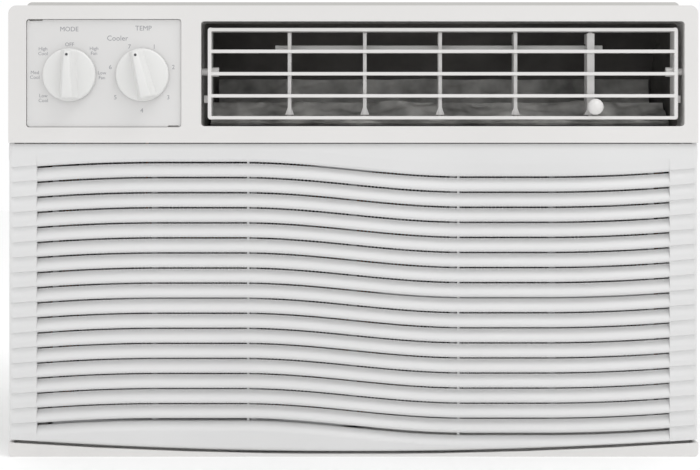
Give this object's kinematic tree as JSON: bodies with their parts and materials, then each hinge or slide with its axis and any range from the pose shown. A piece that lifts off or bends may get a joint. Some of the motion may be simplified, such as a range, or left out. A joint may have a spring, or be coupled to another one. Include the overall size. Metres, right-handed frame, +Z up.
{
  "type": "window air conditioner",
  "caption": "Box-shaped window air conditioner with rotary controls, a tilting louver with linked vanes, a wavy slatted intake grille, and its fans, coils and compressor inside.",
  "frame": {"origin": "middle of the unit's outer box at the underside of the base pan, with the knobs counted in the depth", "axes": "+Z up, front with the controls faces -Y, +X to the right seen from the front"},
  "size_m": [0.47, 0.395, 0.313],
  "materials": {
    "white_plastic": "satin moulded plastic, faint orange peel",
    "grille_plastic": "satin moulded plastic",
    "plate_plastic": "fine matt plate with grey print",
    "knob_plastic": "satin moulded plastic",
    "grey_plastic": "satin grey plastic",
    "dark_plastic": "matt black moulded plastic",
    "duct_foam": "grey moulded foam, slightly mottled",
    "filter_net": "dark woven net in a moulded frame",
    "painted_steel": "light grey powder coat",
    "zinc_steel": "zinc coated sheet",
    "black_steel": "black enamel",
    "fin_aluminium": "thin bright fins",
    "copper": "drawn copper, slightly dulled",
    "rubber": "matt black rubber"
  },
  "bodies": {
    "chassis": {"front_bezel": "white_plastic", "control_plate": "plate_plastic", "mode_switch": "dark_plastic", "thermostat": "zinc_steel", "thermostat_bulb": "copper", "control_box": "zinc_steel", "run_capacitor": "fin_aluminium", "base_pan": "painted_steel", "drain_plug": "rubber", "cabinet_shell": "painted_steel", "cord_inlet_bushing": "rubber", "drain_tray": "duct_foam", "blower_scroll": "duct_foam", "blower_orifice_plate": "dark_plastic", "discharge_duct": "duct_foam", "bulkhead": "zinc_steel", "fan_motor": "black_steel", "motor_bracket": "zinc_steel", "fan_shroud": "dark_plastic", "evaporator_coil": "fin_aluminium", "evaporator_end_plate_left": "zinc_steel", "evaporator_end_plate_right": "zinc_steel", "condenser_coil": "fin_aluminium", "condenser_end_plate_left": "zinc_steel", "condenser_end_plate_right": "zinc_steel", "compressor": "black_steel", "accumulator": "black_steel", "filter_drier": "copper", "suction_tube": "copper", "compressor_return_stub": "copper", "discharge_tube": "copper", "liquid_tube": "copper", "capillary_tube": "copper", "compressor_grommet_1": "rubber", "compressor_grommet_2": "rubber", "compressor_grommet_3": "rubber", "cabinet_screw_left_front": "zinc_steel", "cabinet_screw_left_rear": "zinc_steel", "cabinet_screw_right_front": "zinc_steel", "cabinet_screw_right_rear": "zinc_steel"},
    "mode_control": {"mode_knob": "knob_plastic", "mode_spindle": "zinc_steel"},
    "temp_control": {"temp_knob": "knob_plastic", "temp_spindle": "zinc_steel"},
    "louver": {"louver_frame": "white_plastic"},
    "link": {"vane_link_bar": "grey_plastic"},
    "grille": {"intake_grille": "grille_plastic", "air_filter": "filter_net"},
    "rotor": {"motor_shaft": "zinc_steel", "blower_wheel": "dark_plastic", "axial_fan": "dark_plastic"},
    "vane_1": {"vertical_vane_1": "white_plastic"},
    "vane_2": {"vertical_vane_2": "white_plastic"},
    "vane_3": {"vertical_vane_3": "white_plastic"},
    "vane_4": {"vertical_vane_4": "white_plastic"},
    "vane_5": {"vertical_vane_5": "white_plastic"}
  },
  "joints": [
    {"name": "mode_knob_turn", "type": "hinge", "parent": "chassis", "child": "mode_control", "pos_m": [-0.1934, -0.1825, 0.2601], "axis": [0, 1, 0], "range_deg": [-135, 95]},
    {"name": "temp_knob_turn", "type": "hinge", "parent": "chassis", "child": "temp_control", "pos_m": [-0.1437, -0.1825, 0.2601], "axis": [0, 1, 0], "range_deg": [-320, 0]},
    {"name": "louver_tilt", "type": "hinge", "parent": "chassis", "child": "louver", "pos_m": [0.0612, -0.1705, 0.2624], "axis": [1, 0, 0], "range_deg": [-20, 25]},
    {"name": "vane_5_turn", "type": "hinge", "parent": "louver", "child": "vane_5", "pos_m": [0.1634, -0.1675, 0.261], "axis": [0, 0, 1], "range_deg": [-30, 30]},
    {"name": "vane_1_turn", "type": "hinge", "parent": "louver", "child": "vane_1", "pos_m": [-0.0438, -0.1675, 0.261], "axis": [0, 0, 1], "range_deg": [-30, 30]},
    {"name": "vane_2_turn", "type": "hinge", "parent": "louver", "child": "vane_2", "pos_m": [0.008, -0.1675, 0.261], "axis": [0, 0, 1], "range_deg": [-30, 30]},
    {"name": "vane_3_turn", "type": "hinge", "parent": "louver", "child": "vane_3", "pos_m": [0.0598, -0.1675, 0.261], "axis": [0, 0, 1], "range_deg": [-30, 30]},
    {"name": "vane_4_turn", "type": "hinge", "parent": "louver", "child": "vane_4", "pos_m": [0.1116, -0.1675, 0.261], "axis": [0, 0, 1], "range_deg": [-30, 30]},
    {"name": "link_bar_pivot", "type": "hinge", "parent": "vane_5", "child": "link", "pos_m": [0.1634, -0.1565, 0.2797], "axis": [0, 0, 1], "range_deg": [-30, 30]},
    {"name": "intake_grille_open", "type": "hinge", "parent": "chassis", "child": "grille", "pos_m": [0, -0.1685, 0.207], "axis": [-1, 0, 0], "range_deg": [0, 40]},
    {"name": "fan_spin", "type": "hinge", "parent": "chassis", "child": "rotor", "pos_m": [0.05, -0.1825, 0.128], "axis": [0, 1, 0], "continuous": true}
  ],
  "couplings": [
    {"joint": "vane_1_turn", "follows": "vane_5_turn", "ratio": 1},
    {"joint": "vane_2_turn", "follows": "vane_5_turn", "ratio": 1},
    {"joint": "vane_3_turn", "follows": "vane_5_turn", "ratio": 1},
    {"joint": "vane_4_turn", "follows": "vane_5_turn", "ratio": 1},
    {"joint": "link_bar_pivot", "follows": "vane_5_turn", "ratio": -1}
  ]
}
